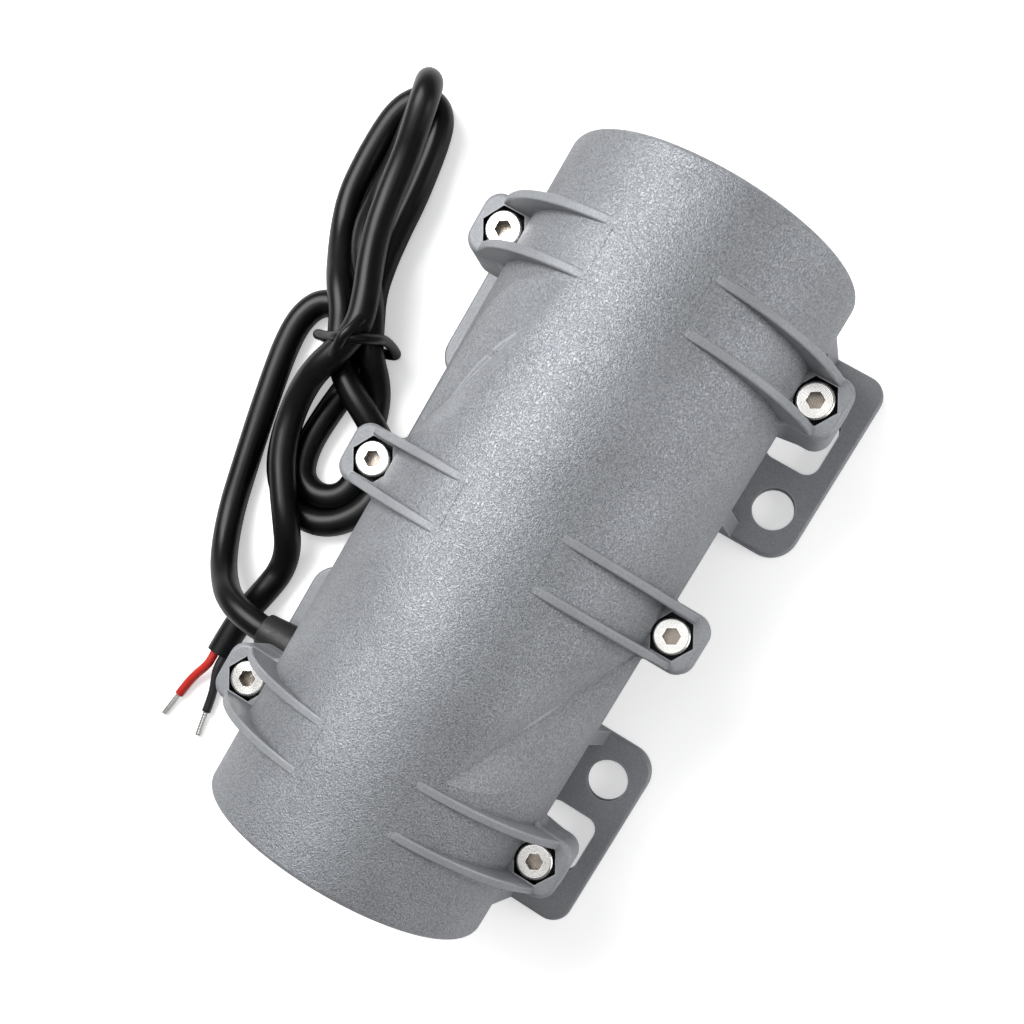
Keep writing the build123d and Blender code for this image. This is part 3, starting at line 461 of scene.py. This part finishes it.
# Steel inside the motor: bearing races and balls, the ground shaft, its rings and its springs.
# All of them show rings from the lathe or the grinding wheel round the shaft's axis.
steels = {}
for name, dark, light, rough, marks_scale in (
    ("bearing_steel", (0.5, 0.5, 0.51, 1), (0.66, 0.66, 0.67, 1), 0.16, 2400.0),
    ("ground_steel", (0.42, 0.42, 0.42, 1), (0.57, 0.57, 0.56, 1), 0.28, 1500.0),
    ("spring_steel", (0.36, 0.35, 0.33, 1), (0.5, 0.48, 0.46, 1), 0.3, 3000.0),
    ("core_iron", (0.2, 0.21, 0.22, 1), (0.36, 0.37, 0.38, 1), 0.45, 1000.0),
    ("weight_iron", (0.11, 0.105, 0.1, 1), (0.2, 0.19, 0.18, 1), 0.55, 600.0),
):
    steels[name], tree, shader = new_material(name, rough, metallic=1.0)
    marks = use_effect(tree, turned_effect, Scale=marks_scale)
    grain = use_effect(tree, grain_effect, Scale=1800.0)
    colour = blend_colours(tree, grain.outputs["Blotches"], dark, light)
    roughness = spread(tree, grain.outputs["Height"], 0.0, 1.0, rough - 0.05, rough + 0.08)
    finish_shader(tree, shader, colour, roughness, marks.outputs[0], 0.2, 0.00002)

# Copper: the enamelled winding shows the wires beside each other, and the commutator is bare and worn.
coppers = {}
for name, dark, light, rough, wire_scale in (
    ("winding_copper", (0.19, 0.045, 0.015, 1), (0.5, 0.16, 0.055, 1), 0.32, 420.0),
    ("commutator_copper", (0.5, 0.23, 0.13, 1), (0.66, 0.34, 0.21, 1), 0.3, 1600.0),
    ("tinned_copper", (0.55, 0.54, 0.52, 1), (0.74, 0.73, 0.71, 1), 0.26, 1300.0),
):
    coppers[name], tree, shader = new_material(name, rough, metallic=1.0)
    place = put(tree, "ShaderNodeTexCoord").outputs["Object"]
    strands = put(tree, "ShaderNodeTexWave", {
        "Vector": place, "Scale": wire_scale, "Distortion": 0.6, "Detail": 1.0}, bands_direction="DIAGONAL")
    colour = blend_colours(tree, strands.outputs[1], dark, light)
    roughness = spread(tree, strands.outputs[1], 0.0, 1.0, rough + 0.1, rough - 0.04)
    finish_shader(tree, shader, colour, roughness, strands.outputs[1], 0.5, 0.00008)

# Dull moulded pieces: seal, entry boot, magnets, brushes, brush plate and the insulation of the cores.
mouldings = {}
for name, dark, light, rough, grain_scale in (
    ("seal_rubber", (0.012, 0.012, 0.013, 1), (0.03, 0.03, 0.032, 1), 0.7, 900.0),
    ("entry_rubber", (0.007, 0.007, 0.008, 1), (0.02, 0.02, 0.022, 1), 0.5, 1300.0),
    ("tie_plastic", (0.006, 0.006, 0.007, 1), (0.018, 0.018, 0.02, 1), 0.4, 1900.0),
    ("magnet_ferrite", (0.035, 0.034, 0.036, 1), (0.075, 0.073, 0.074, 1), 0.6, 1100.0),
    ("brush_carbon", (0.02, 0.02, 0.021, 1), (0.065, 0.064, 0.065, 1), 0.5, 1700.0),
    ("brush_plate_resin", (0.13, 0.05, 0.018, 1), (0.22, 0.095, 0.038, 1), 0.45, 1200.0),
    ("red_insulation", (0.42, 0.012, 0.008, 1), (0.58, 0.024, 0.014, 1), 0.38, 1500.0),
    ("black_insulation", (0.008, 0.008, 0.009, 1), (0.022, 0.022, 0.024, 1), 0.38, 1500.0),
):
    mouldings[name], tree, shader = new_material(name, rough)
    grain = use_effect(tree, grain_effect, Scale=grain_scale)
    colour = blend_colours(tree, grain.outputs["Blotches"], dark, light)
    roughness = spread(tree, grain.outputs["Height"], 0.0, 1.0, rough - 0.07, rough + 0.07)
    finish_shader(tree, shader, colour, roughness, grain.outputs["Height"], 0.25, 0.00004)

# Every CAD node takes the finish that its slot in the record names.
finishes = {"cast_housing": housing, "screw_steel": screws, "cord_jacket": jacket}
finishes.update({**steels, **coppers, **mouldings})
for subpart in frame["record"]["subparts"]:
    for material_slot in frame["nodes"][subpart["node"]].material_slots:
        material_slot.material = finishes[subpart["material_slot"]]

# Floor: a large pale sheet under the motor, a little brighter to the camera, so that it reads as white.
bpy.ops.mesh.primitive_plane_add(size=8.0, location=(0, 0, 0))
floor = bpy.context.object
floor.name = "floor"
floor_material, tree, shader = new_material("floor", 0.9, specular=0.2)
shader.inputs["Base Color"].default_value = (0.95, 0.95, 0.95, 1)
shader.inputs["Emission Color"].default_value = (1.0, 1.0, 1.0, 1.0)
seen_directly = put(tree, "ShaderNodeLightPath").outputs["Is Camera Ray"]
tree.links.new(calculate(tree, "MULTIPLY", seen_directly, 0.45), shader.inputs["Emission Strength"])
floor.data.materials.append(floor_material)

# Light: an even pale sky, a soft key from the cord's side, a weaker fill from the other
# and a dim one overhead that the screw heads and the feet show.
world = bpy.data.worlds.new("studio")
world.use_nodes = True
world.node_tree.nodes["Background"].inputs["Color"].default_value = (1.0, 1.0, 1.0, 1.0)
world.node_tree.nodes["Background"].inputs["Strength"].default_value = 0.2
scene.world = world


def soft_light(name, place, size, power):
    """A square area light at a place, turned to the motor."""
    data = bpy.data.lights.new(name, "AREA")
    data.shape = "SQUARE"
    data.size = size
    data.energy = power
    light = bpy.data.objects.new(name, data)
    light.location = place
    light.rotation_euler = (Vector((0, 0, 0.03)) - Vector(place)).to_track_quat("-Z", "Y").to_euler()
    bpy.context.collection.objects.link(light)


soft_light("key", (0.11, 0.33, 0.46), 0.34, 3.2)
soft_light("fill", (0.12, -0.48, 0.22), 0.35, 1.2)
soft_light("top", (0.03, 0.1, 0.7), 0.5, 1.1)

scene.view_settings.view_transform = "Standard"
